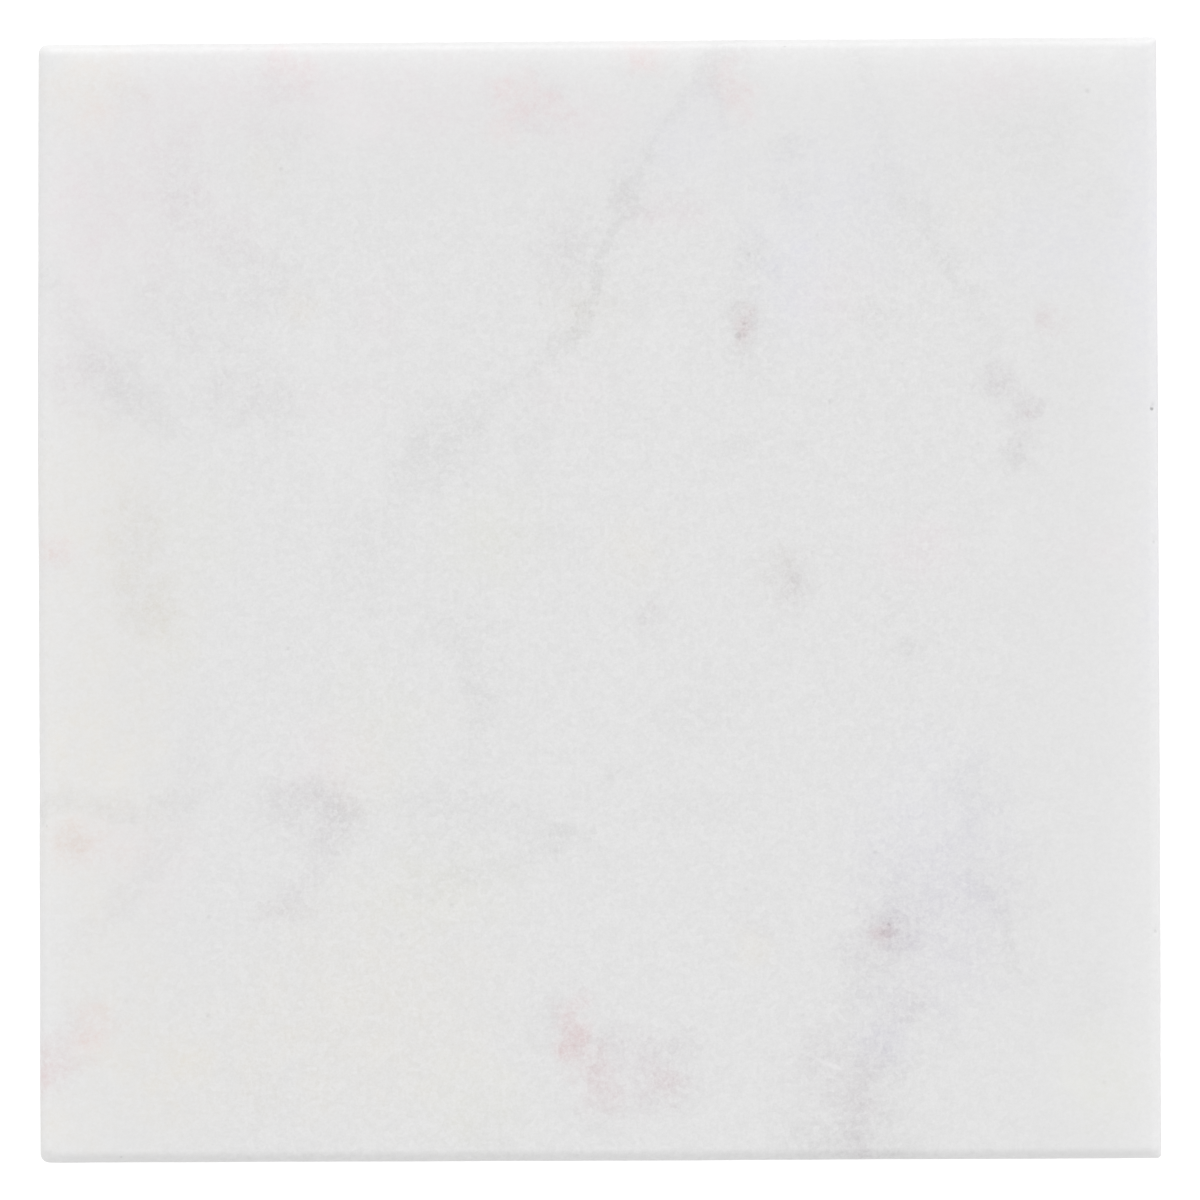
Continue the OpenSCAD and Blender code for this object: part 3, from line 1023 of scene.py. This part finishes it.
    def paint_edge_light(self, total: Signal, stone: Signal) -> bpy.types.NodeSocket:
        """Paints light into the colour: the stone is made paler towards its rear, right and left edges, for
        the light that gets in through the sides.

        Args:
            total: density so far.
            stone: places in the stone.

        Returns:
            The new density.
        """
        board = self.board
        x, y, _ = board.split(stone)
        sides = ((y, 1, self.rear_painted_light), (x, 1, self.right_painted_light), (x, -1, self.left_painted_light))
        for value, sign, (strength, reach) in sides:
            inward = board.math("MULTIPLY_ADD", value, -sign, self.nominal - self.edge_r)
            deep = board.math("MAXIMUM", inward, 0.0)
            mask = board.math("EXPONENT", board.math("MULTIPLY", deep, -1.0 / reach))
            if value is y:
                corners = board.fade(board.math("ABSOLUTE", x), 45.0, 49.6, 1.0, 0.3)
                mask = board.math("MULTIPLY", mask, board.fade(inward, 0.0, -self.edge_r))
                mask = board.math("MULTIPLY", mask, corners)
            else:
                mask = board.math("ADD", mask, board.fade(inward, -self.edge_r, 0.0))
            # Painted light, not a mineral: a paler band along this edge
            total = self.stain(total, mask, strength, Mineral.CALCITE)
        return total

    def dress(self, total: Signal, place: Signal, stone: Signal, grain: Signal) -> bpy.types.Material:
        """Turns the density into colour and adds roughness and bump.

        Args:
            total: density of the stone.
            place: object places, in metres; not used.
            stone: places in the stone, in millimetres.
            grain: the sugary grain.

        Returns:
            The material.
        """
        board = self.board
        x, y, z = board.split(stone)
        normal_z = board.split(board.add("ShaderNodeNewGeometry").outputs["Normal"])[2]
        under = board.fade(normal_z, -0.85, -0.6)
        beside = board.math("SUBTRACT", board.fade(board.math("ABSOLUTE", normal_z), 0.3, 0.8), under)

        # Worn edges: near two sides of the block at once
        off_x = board.math("ABSOLUTE", x)
        off_y = board.math("ABSOLUTE", y)
        near_x = board.fade(off_x, self.half + 0.1, self.half - self.wear_band)
        near_y = board.fade(off_y, self.half + 0.1, self.half - self.wear_band)
        near_top = board.fade(z, 0.0, -1.2)
        near_low = board.fade(z, self.bottom - self.top, self.bottom - self.top + self.wear_band)
        near_z = board.math("MAXIMUM", near_top, near_low)
        pairs = [board.math("MINIMUM", near_x, near_z), board.math("MINIMUM", near_y, near_z)]
        pairs.append(board.math("MINIMUM", near_x, near_y))
        worn = board.math("MAXIMUM", board.math("MAXIMUM", pairs[0], pairs[1]), pairs[2])
        dust = board.noise(stone, 3.0, 4.0, 0.7).outputs[0]
        scuff = board.fade(dust, 0.68, 0.42)
        wear = board.math("MULTIPLY", worn, scuff)
        total = self.stain(total, wear, 1.6, Mineral.CALCITE)

        # The underside is left sawn: duller, with arcs of the saw, which height hardly moves
        saw_place = board.moved(stone, self.saw_middle, 0.0, (1.0, 1.0, 1000.0))
        sweep = board.math("MULTIPLY_ADD", dust, 0.5, board.length(saw_place))
        arcs = board.math("SINE", board.math("MULTIPLY", sweep, self.saw_ripple))
        grit, sawn = board.math("MULTIPLY", under, dust), board.math("MULTIPLY", under, arcs)
        total = self.stain(total, under, 5.0, Mineral.UMBER)
        total = self.stain(total, grit, 5.0, Mineral.GRAPHITE)
        total = self.stain(total, sawn, 0.8, Mineral.GRAPHITE)

        # The sides keep fine lines of the hone, which run along them
        line_place = board.moved(stone, (0.0, 0.0, 0.0), 0.0, (0.12, 0.12, 9.0), "POINT")
        lines = board.noise(line_place, 1.0, 3.0, 0.7).outputs[0]
        honed = board.math("MULTIPLY", beside, lines)

        parts = [board.math("EXPONENT", part) for part in board.split(board.scaled(total, -self.step))]
        light = board.add("ShaderNodeCombineXYZ", *parts).outputs[0]
        colour = board.vector("MULTIPLY", light, self.base)

        rough = board.mixed(0.34, (dust, 0.16), (grain, 0.04), (wear, 0.12), (under, 0.32), (honed, 0.16))
        relief = board.mixed(0.0, (grain, 0.25), (honed, 2.0), (sawn, 1.6), (grit, 4.0), (wear, -1.2))
        board.surface(
            Base_Color=colour,
            Roughness=rough,
            Normal=board.bump(relief, 0.5, 0.02),
            IOR=1.5,
            Specular_IOR_Level=0.5,
        )
        return board.owner


class CorkFinish:
    """Pressed cork: granules of several browns with dark seams between them."""

    # Size of a granule, and its browns: the darkest, the palest and those between, with their place
    granule = 0.95
    darkest = (0.26, 0.145, 0.07, 1.0)
    palest = (0.68, 0.48, 0.28, 1.0)
    browns = (
        (0.1, (0.40, 0.23, 0.11, 1.0)),
        (0.3, (0.54, 0.345, 0.18, 1.0)),
        (0.7, (0.61, 0.41, 0.225, 1.0)),
    )

    def make(self) -> bpy.types.Material:
        """Builds the finish.

        Returns:
            The material.
        """
        board = Board("pressed_cork")
        cork = board.millimetres()
        drift = board.noise(cork, 0.7, 3.0, 0.6).outputs["Color"]
        bent = board.vector("MULTIPLY_ADD", drift, (0.7, 0.7, 0.7), cork)
        granules = board.cells(bent, self.granule)
        kind, shade, _ = board.split(granules.outputs["Color"])
        seams = board.cells(bent, self.granule, "DISTANCE_TO_EDGE").outputs["Distance"]
        ramp = board.add("ShaderNodeValToRGB", kind)
        stops = ramp.color_ramp.elements
        stops[0].color, stops[1].color = self.darkest, self.palest
        for at, brown in self.browns:
            stops.new(at).color = brown
        pores = board.noise(bent, 0.22, 3.0, 0.7).outputs[0]
        flecks = board.fade(board.noise(bent, 0.5, 2.0, 0.6).outputs[0], 0.7, 0.62)
        seam = board.fade(seams, 0.01, 0.11)
        shadow = board.mixed(1.0, (seam, -0.3), (flecks, -0.4))
        shadow = board.math("MULTIPLY", shadow, board.swing(pores, 1.0, 0.5))
        shadow = board.math("MULTIPLY", shadow, board.math("MULTIPLY_ADD", shade, 0.25, 0.88))
        colour = board.vector("MULTIPLY", ramp.outputs[0], shadow)
        rough = board.math("MULTIPLY_ADD", pores, 0.2, 0.74)
        relief = board.mixed(shade, (pores, 0.7), (seam, -1.0))
        normal = board.bump(relief, 0.7, 0.12)
        board.surface(Base_Color=colour, Roughness=rough, Normal=normal, Specular_IOR_Level=0.3)
        return board.owner


class AdhesiveFinish:
    """Pale film of adhesive, amber in places, with small trapped bubbles."""

    pale = (0.74, 0.66, 0.45, 1.0)
    amber = (0.62, 0.51, 0.29, 1.0)

    def make(self) -> bpy.types.Material:
        """Builds the finish.

        Returns:
            The material.
        """
        board = Board("adhesive_film")
        film = board.millimetres()
        cloudy = board.noise(film, 1.4, 3.0, 0.6).outputs[0]
        bubbles = board.fade(board.cells(film, 0.6).outputs["Distance"], 0.1, 0.22)
        # A mix node keeps its two colours in inputs 6 and 7, and the mixed one in output 2
        mix = board.add("ShaderNodeMix", data_type="RGBA")
        board.feed(mix.inputs[0], board.fade(cloudy, 0.7, 0.3))
        mix.inputs[6].default_value = self.pale
        mix.inputs[7].default_value = self.amber
        shade = board.math("MULTIPLY_ADD", bubbles, 0.14, 0.94)
        colour = board.vector("MULTIPLY", mix.outputs[2], shade)
        rough = board.math("MULTIPLY_ADD", cloudy, 0.3, 0.2)
        normal = board.bump(board.math("ADD", bubbles, cloudy), 0.6, 0.03)
        board.surface(Base_Color=colour, Roughness=rough, Normal=normal)
        return board.owner


@dataclass(frozen=True)
class Level:
    """One level of a piece's upright side.

    Attributes:
        reach: distance from the middle to the side, in millimetres.
        left: radius of the left corners.
        right: radius of the right corners.
        height: height above the table.
        tilt: direction the surface faces, in degrees up from level.
    """

    reach: float
    left: float
    right: float
    height: float
    tilt: float


@dataclass(frozen=True)
class FinePlace:
    """A place where grid lines run close together."""

    at: float
    gap: float


def graded_lines(half: float, places: Sequence[FinePlace], coarse: float, growth: float = 0.3) -> list[float]:
    """Spaces grid lines across a face, close together where something small has to show.

    Args:
        half: half of the face's width.
        places: where the lines run close together.
        coarse: widest gap between two lines.
        growth: how fast the gap grows away from a fine place.

    Returns:
        The lines, from -half to half.
    """
    lines = [-half]
    while lines[-1] < half:
        gaps = [place.gap + growth * abs(lines[-1] - place.at) for place in places]
        lines.append(lines[-1] + min([coarse] + gaps))
    span = lines[-1] + half
    return [(line + half) * 2 * half / span - half for line in lines]


def even_lines(half: float, count: int) -> list[float]:
    """Spaces grid lines evenly, from -half to half."""
    return [-half + 2 * half * step / count for step in range(count + 1)]


@dataclass
class Block:
    """A closed piece with a gridded top and base, joined by levels of its side."""

    name: str
    lines_x: Sequence[float]
    lines_y: Sequence[float]
    corner: float
    levels: Sequence[Level]
    middle: tuple[float, float] = (0.0, 0.0)

    def spread(self, x: float, y: float, level: Level) -> tuple[float, float, Vector]:
        """Moves a point of the flat grid out to one level.

        Args:
            x: the point's place across.
            y: the point's place in depth.
            level: the level it goes to.

        Returns:
            Its new place and the level direction it faces.
        """
        half = self.lines_x[-1]
        straight = half - self.corner
        radius = level.left if x < 0 else level.right
        middle = level.reach - radius
        stretch = middle / straight if straight > 1e-6 else 0.0
        past_x, past_y = max(0.0, abs(x) - straight), max(0.0, abs(y) - straight)
        if past_x > 0 and past_y > 0:
            turn = math.radians(45.0) * min(past_x, past_y) / max(past_x, past_y)
            low, high = math.sin(turn), math.cos(turn)
            facing = Vector((low, high, 0.0)) if past_y >= past_x else Vector((high, low, 0.0))
            share = max(past_x, past_y) / self.corner * radius
            new_x, new_y = middle + share * facing.x, middle + share * facing.y
        else:
            facing = Vector((0.0, 1.0, 0.0)) if past_y > past_x else Vector((1.0, 0.0, 0.0))
            new_x = middle + past_x / self.corner * radius if past_x > 0 else abs(x) * stretch
            new_y = middle + past_y / self.corner * radius if past_y > 0 else abs(y) * stretch
        sign_x, sign_y = math.copysign(1.0, x), math.copysign(1.0, y)
        return new_x * sign_x, new_y * sign_y, Vector((facing.x * sign_x, facing.y * sign_y, 0.0))

    def build(self, shape: Callable[[Vector, Vector], Vector]) -> bpy.types.Object:
        """Makes the piece's mesh.

        Args:
            shape: moves a point, given the point and the direction it faces.

        Returns:
            The object, in place.
        """
        last_x, last_y = len(self.lines_x) - 1, len(self.lines_y) - 1
        rim = [(i, 0) for i in range(last_x)] + [(last_x, j) for j in range(last_y)]
        rim += [(i, last_y) for i in range(last_x, 0, -1)] + [(0, j) for j in range(last_y, 0, -1)]
        points: list[Vector] = []
        faces: list[tuple[int, ...]] = []

        def point(i: int, j: int, level: Level) -> int:
            """Adds one point of a level.

            Args:
                i: number of its grid line across.
                j: number of its grid line in depth.
                level: the level.

            Returns:
                The point's number.
            """
            x, y, facing = self.spread(self.lines_x[i], self.lines_y[j], level)
            turn = math.radians(level.tilt)
            normal = facing * math.cos(turn) + Vector((0.0, 0.0, math.sin(turn)))
            spot = Vector((x + self.middle[0], y + self.middle[1], level.height))
            points.append(shape(spot, normal))
            return len(points) - 1

        def lid(level: Level) -> dict[tuple[int, int], int]:
            """Adds the points of a gridded face and gives the number of each."""
            return {(i, j): point(i, j, level) for i in range(last_x + 1) for j in range(last_y + 1)}

        top, base = lid(self.levels[0]), lid(self.levels[-1])
        for i in range(last_x):
            for j in range(last_y):
                ring = [(i, j), (i + 1, j), (i + 1, j + 1), (i, j + 1)]
                faces.append(tuple(top[spot] for spot in ring))
                faces.append(tuple(base[spot] for spot in reversed(ring)))
        rows = [[top[spot] for spot in rim]]
        rows += [[point(i, j, level) for i, j in rim] for level in self.levels[1:-1]]
        rows.append([base[spot] for spot in rim])
        for upper, lower in zip(rows, rows[1:]):
            for k in range(len(rim)):
                after = (k + 1) % len(rim)
                faces.append((upper[k], lower[k], lower[after], upper[after]))
        mesh = bpy.data.meshes.new(self.name)
        mesh.from_pydata([spot * MM for spot in points], [], faces)
        mesh.polygons.foreach_set("use_smooth", [True] * len(mesh.polygons))
        mesh.validate()
        mesh.update()
        piece = bpy.data.objects.new(self.name, mesh)
        bpy.context.scene.collection.objects.link(piece)
        return piece


# Down the slab's lower bevel: share of its size, and the direction it faces there, in degrees
BEVEL_PROFILE = ((0.0, -10.0), (0.08, -25.0), (0.3, -45.0), (0.7, -45.0), (0.92, -65.0))


@dataclass
class MarbleSlab:
    """The square marble slab: eased top edges, a small lower bevel and slightly untrue sides."""

    half: float = 49.93
    edge_r: float = 1.1
    bevel: float = 0.5
    left_r: float = 0.8
    right_r: float = 0.4
    face_r: float = 0.25
    base_left_r: float = 0.5
    base_right_r: float = 0.3
    # How far the rear left corner stands in from a true square, sideways and in depth
    slant_x: float = 0.3
    slant_y: float = 0.27
    # Slow swell of the left side
    bow: float = 0.13
    bow_at: float = 18.0
    bow_reach: float = 20.0
    # How far the sides waver, and the size of the long and the short waves
    waver: float = 0.035
    waver_long: float = 11.0
    waver_short: float = 3.1
    # Gaps of the face's grid: at its rim, at a nick and elsewhere
    rim_gap: float = 0.06
    nick_gap: float = 0.12
    coarse: float = 1.5
    edge_steps: int = 14
    side_steps: int = 12
    nicks: tuple[Nick, ...] = field(default_factory=worn_nicks)

    def levels(self, bottom: float, top: float) -> list[Level]:
        """Lists the levels of the slab's side.

        Args:
            bottom: height of the underside, in millimetres.
            top: height of the face, in millimetres.

        Returns:
            The levels, from the rim of the face down to the rim of the underside.
        """
        flat = self.half - self.edge_r
        made = []
        for step in range(self.edge_steps + 1):
            turn = math.radians(90.0 * step / self.edge_steps)
            out = math.sin(turn)
            made.append(
                Level(
                    flat + self.edge_r * out,
                    self.face_r + (self.left_r - self.face_r) * out,
                    self.face_r + (self.right_r - self.face_r) * out,
                    top - self.edge_r * (1 - math.cos(turn)),
                    90.0 - math.degrees(turn),
                )
            )
        low, high = bottom + self.bevel, top - self.edge_r
        for step in range(1, self.side_steps):
            height = high + (low - high) * step / self.side_steps
            made.append(Level(self.half, self.left_r, self.right_r, height, 0.0))
        for share, tilt in BEVEL_PROFILE:
            inset = self.bevel * share
            made.append(Level(self.half - inset, self.left_r, self.right_r, low - inset, tilt))
        made.append(Level(self.half - self.bevel, self.base_left_r, self.base_right_r, bottom, -90.0))
        return made

    def shape(self, spot: Vector, facing: Vector) -> Vector:
        """Gives a point of the slab its slants, its waver and its nicks.

        Args:
            spot: the point, in millimetres.
            facing: the direction it faces.

        Returns:
            The moved point.
        """
        share_x = (spot.x + self.half) / (2 * self.half)
        share_y = (spot.y + self.half) / (2 * self.half)
        swell = self.bow * math.exp(-(((spot.y - self.bow_at) / self.bow_reach) ** 2))
        moved = spot.copy()
        moved.x += (self.slant_x * share_y - swell) * (1 - share_x)
        moved.y -= self.slant_y * (1 - share_x) * share_y
        upright = 1 - abs(facing.z)
        if upright > 0.01:
            sway = noise.noise(spot / self.waver_long) + 0.5 * noise.noise(spot / self.waver_short)
            moved += facing * self.waver * sway * min(1.0, 2 * upright)
        if facing.z > -0.2:
            for nick in self.nicks:
                off = ((moved.x - nick.x) / nick.wide) ** 2 + ((moved.y - nick.y) / nick.long) ** 2
                if off < 9.0:
                    moved -= facing * nick.deep * math.exp(-off)
        return moved

    def build(self) -> bpy.types.Object:
        """Builds and dresses the slab.

        Returns:
            The slab's object.
        """
        low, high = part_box("stone_slab")
        bottom, top = low.z / MM, high.z / MM
        flat = self.half - self.edge_r
        ends = [FinePlace(-flat, self.rim_gap), FinePlace(flat, self.rim_gap)]
        fine_x = ends + [FinePlace(nick.x, self.nick_gap) for nick in self.nicks if abs(nick.x) < flat]
        fine_y = ends + [FinePlace(nick.y, self.nick_gap) for nick in self.nicks if abs(nick.y) < flat]
        block = Block(
            "marble_slab",
            graded_lines(flat, fine_x, self.coarse),
            graded_lines(flat, fine_y, self.coarse),
            self.face_r,
            self.levels(bottom, top),
        )
        slab = block.build(self.shape)
        slab.data.materials.append(MarbleFinish(top, bottom, self.nicks).make())
        return settle(slab, "stone_slab")


def settle(piece: bpy.types.Object, node: str) -> bpy.types.Object:
    """Puts a piece in the place of its CAD node.

    Args:
        piece: the finished piece.
        node: the CAD node it stands for.

    Returns:
        The piece.
    """
    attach(piece, BODY)
    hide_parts(node)
    LOG.info("%s: %d faces, for %s", piece.name, len(piece.data.polygons), node)
    return piece


class Corner(Enum):
    """Corners of the slab, each with a foot under it."""

    FRONT_LEFT = "front_left"
    FRONT_RIGHT = "front_right"
    REAR_LEFT = "rear_left"
    REAR_RIGHT = "rear_right"


@dataclass
class CorkFoot:
    """One punched cork foot: granules stand out of its side and some are missing."""

    corner: Corner
    finish: bpy.types.Material
    lines: int = 34
    side_steps: int = 9
    rim_steps: int = 6
    rim_r: float = 0.3
    # Size of a granule, width and depth of the seams round it, and depth of a hole that one left
    granule: float = 1.1
    seam: float = 0.35
    relief: float = 0.05
    lost: float = 0.22
    # Height below the foot's top within which it keeps its shape
    kept: float = 0.25

    def shape(self, height: float) -> Callable[[Vector, Vector], Vector]:
        """How a point of the foot moves.

        Args:
            height: the foot's height, where its flat top stays untouched.

        Returns:
            The function that moves a point.
        """

        def move(spot: Vector, facing: Vector) -> Vector:
            """Sinks the seams between granules and the places where one is missing.

            Args:
                spot: the point, in millimetres.
                facing: the direction it faces.

            Returns:
                The moved point.
            """
            if facing.z > 0.9:
                return spot
            distances, centres = noise.voronoi(spot / self.granule)
            seam = max(0.0, 1 - (distances[1] - distances[0]) / self.seam)
            depth = self.relief * seam
            missing = noise.noise(centres[0] * 3.7) > 0.28
            if missing:
                depth += self.lost * (1 - seam) * min(1.0, 2.5 * max(0.0, 0.75 - distances[0]))
            fade = min(1.0, max(0.0, (height - spot.z) / self.kept))
            return spot - facing * depth * fade

        return move

    def build(self) -> bpy.types.Object:
        """Builds and dresses the foot.

        Returns:
            The foot's object.
        """
        node = f"foot_pad_{self.corner.value}"
        low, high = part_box(node)
        radius, height = (high.x - low.x) / 2 / MM, high.z / MM
        middle = ((low + high) / 2 / MM).to_2d()
        half = radius * 0.5
        grid = even_lines(half, self.lines)
        levels = [Level(radius, radius, radius, height, 90.0)]
        for step in range(1, self.side_steps + 1):
            down = (height - self.rim_r) * step / self.side_steps
            levels.append(Level(radius, radius, radius, height - down, 0.0))
        for step in range(1, self.rim_steps):
            turn = math.radians(90.0 * step / self.rim_steps)
            reach = radius - self.rim_r * (1 - math.cos(turn))
            up = self.rim_r * (1 - math.sin(turn))
            levels.append(Level(reach, reach, reach, up, -math.degrees(turn)))
        reach = radius - self.rim_r
        levels.append(Level(reach, reach, reach, low.z / MM, -90.0))
        name = f"cork_foot_{self.corner.value}"
        block = Block(name, grid, grid, half, levels, (middle.x, middle.y))
        foot = block.build(self.shape(height))
        foot.data.materials.append(self.finish)
        return settle(foot, node)


@dataclass
class AdhesiveDisc:
    """The film of adhesive between a foot and the stone, squeezed out unevenly."""

    corner: Corner
    finish: bpy.types.Material
    lines: int = 28
    steps: int = 6
    rim_in: float = 0.08
    waver: float = 0.12
    waver_size: float = 1.3

    def build(self) -> bpy.types.Object:
        """Builds and dresses the film.

        Returns:
            The film's object.
        """
        node = f"adhesive_{self.corner.value}"
        low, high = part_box(node)
        radius = (high.x - low.x) / 2 / MM
        middle = ((low + high) / 2 / MM).to_2d()
        half = radius * 0.5
        grid = even_lines(half, self.lines)
        thick = (high.z - low.z) / MM
        levels = []
        for step in range(self.steps + 1):
            turn = math.radians(180.0 * step / self.steps)
            reach = radius - self.rim_in * (1 - math.sin(turn))
            height = low.z / MM + thick * (1 + math.cos(turn)) / 2
            levels.append(Level(reach, reach, reach, height, 90.0 - math.degrees(turn)))

        def move(spot: Vector, facing: Vector) -> Vector:
            """Draws the rim in by an uneven amount.

            Args:
                spot: the point, in millimetres.
                facing: the direction it faces, which doesn't matter here.

            Returns:
                The moved point.
            """
            out = Vector((spot.x - middle.x, spot.y - middle.y, 0.0))
            flat = Vector((spot.x, spot.y, 0.0))
            inward = self.waver * (0.5 + 0.5 * noise.noise(flat / self.waver_size))
            return spot - out * (inward / radius)

        name = f"adhesive_disc_{self.corner.value}"
        block = Block(name, grid, grid, half, levels, (middle.x, middle.y))
        film = block.build(move)
        film.data.materials.append(self.finish)
        return settle(film, node)


@dataclass
class Studio:
    """The pale floor, the soft light and the camera straight above the coaster."""

    floor_half: float = 4.0
    floor_tone: tuple[float, float, float, float] = (0.8, 0.8, 0.8, 1.0)
    floor_lift: float = 0.55
    sky_strength: float = 0.87
    lamp_share: float = 0.3
    lamp_height: float = 25.0
    lamp_turn: float = 8.0
    lamp_spread: float = 40.0
    # Width of the picture at the slab's face, and where its middle lies
    view_width: float = 106.68
    view_middle: tuple[float, float] = (0.145, 0.0)
    view_turn: float = -0.25
    lens: float = 200.0
    sensor: float = 36.0
    # Farthest distance the camera sees, in metres
    farthest: float = 20.0

    def seen_directly(self, board: Board) -> bpy.types.NodeSocket:
        """Tells what is seen from the light that is given off.

        Args:
            board: the board to use.

        Returns:
            One where it is seen straight, in a gloss or through glass, and nought for the light it gives.
        """
        path = board.add("ShaderNodeLightPath")
        glossy = board.math("MAXIMUM", path.outputs["Is Camera Ray"], path.outputs["Is Glossy Ray"])
        return board.math("MAXIMUM", glossy, path.outputs["Is Transmission Ray"])

    def floor(self) -> bpy.types.Object:
        """Lays the pale floor, which shows white and keeps a faint shadow.

        Returns:
            The floor.
        """
        board = Board("pale_floor")
        diffuse = board.add("ShaderNodeBsdfDiffuse", self.floor_tone)
        lift = board.math("MULTIPLY", self.seen_directly(board), self.floor_lift)
        emission = board.add("ShaderNodeEmission", (1.0, 1.0, 1.0, 1.0), lift)
        both = board.add("ShaderNodeAddShader", diffuse.outputs[0], emission.outputs[0])
        board.add("ShaderNodeOutputMaterial", both.outputs[0])
        mesh = bpy.data.meshes.new("floor")
        half = self.floor_half
        corners = [(-half, -half, 0.0), (half, -half, 0.0), (half, half, 0.0), (-half, half, 0.0)]
        mesh.from_pydata(corners, [], [(0, 1, 2, 3)])
        mesh.materials.append(board.owner)
        plane = bpy.data.objects.new("floor", mesh)
        bpy.context.scene.collection.objects.link(plane)
        return plane

    def sky(self) -> None:
        """Sets the even light from all round, seen as white."""
        board = Board("studio", bpy.data.worlds)
        board.owner.cycles.sampling_method = "NONE"
        bpy.context.scene.world = board.owner
        strength = board.add("ShaderNodeMapRange", self.seen_directly(board))
        strength.inputs["To Min"].default_value = self.sky_strength
        strength.inputs["To Max"].default_value = 1.0
        white = (1.0, 1.0, 1.0, 1.0)
        background = board.add("ShaderNodeBackground", white, strength.outputs[0])
        board.add("ShaderNodeOutputWorld", background.outputs[0])

    def lamp(self) -> None:
        """Hangs the soft lamp low behind the coaster, a little to the right."""
        light = bpy.data.lights.new("rear_lamp", "SUN")
        light.energy = self.lamp_share * math.pi
        light.angle = math.radians(self.lamp_spread)
        lamp = bpy.data.objects.new("rear_lamp", light)
        rise, turn = math.radians(self.lamp_height), math.radians(self.lamp_turn)
        level = math.cos(rise)
        towards = Vector((math.sin(turn) * level, math.cos(turn) * level, math.sin(rise)))
        lamp.rotation_euler = towards.to_track_quat("Z", "Y").to_euler()
        lamp.location = towards
        bpy.context.scene.collection.objects.link(lamp)

    def camera(self, face: float) -> None:
        """Sets the camera straight above the slab.

        Args:
            face: height of the slab's face, in metres.
        """
        data = bpy.data.cameras.new("camera")
        data.lens = self.lens
        data.sensor_width = self.sensor
        data.clip_end = self.farthest
        camera = bpy.data.objects.new("camera", data)
        away = self.lens / data.sensor_width * self.view_width * MM
        camera.location = (self.view_middle[0] * MM, self.view_middle[1] * MM, face + away)
        camera.rotation_euler = (0.0, 0.0, math.radians(self.view_turn))
        bpy.context.scene.collection.objects.link(camera)
        bpy.context.scene.camera = camera

    def build(self, face: float) -> None:
        """Builds the floor, the light and the camera.

        Args:
            face: height of the slab's face, in metres.
        """
        self.floor()
        self.sky()
        self.lamp()
        self.camera(face)
        bpy.context.scene.view_settings.view_transform = "Standard"


def main() -> None:
    """Builds every piece, then the studio."""
    logging.basicConfig(level=logging.INFO, format="%(name)s: %(message)s")
    MarbleSlab().build()
    cork, film = CorkFinish().make(), AdhesiveFinish().make()
    for corner in Corner:
        CorkFoot(corner, cork).build()
        AdhesiveDisc(corner, film).build()
    Studio().build(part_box("stone_slab")[1].z)


if __name__ == "__main__":
    main()
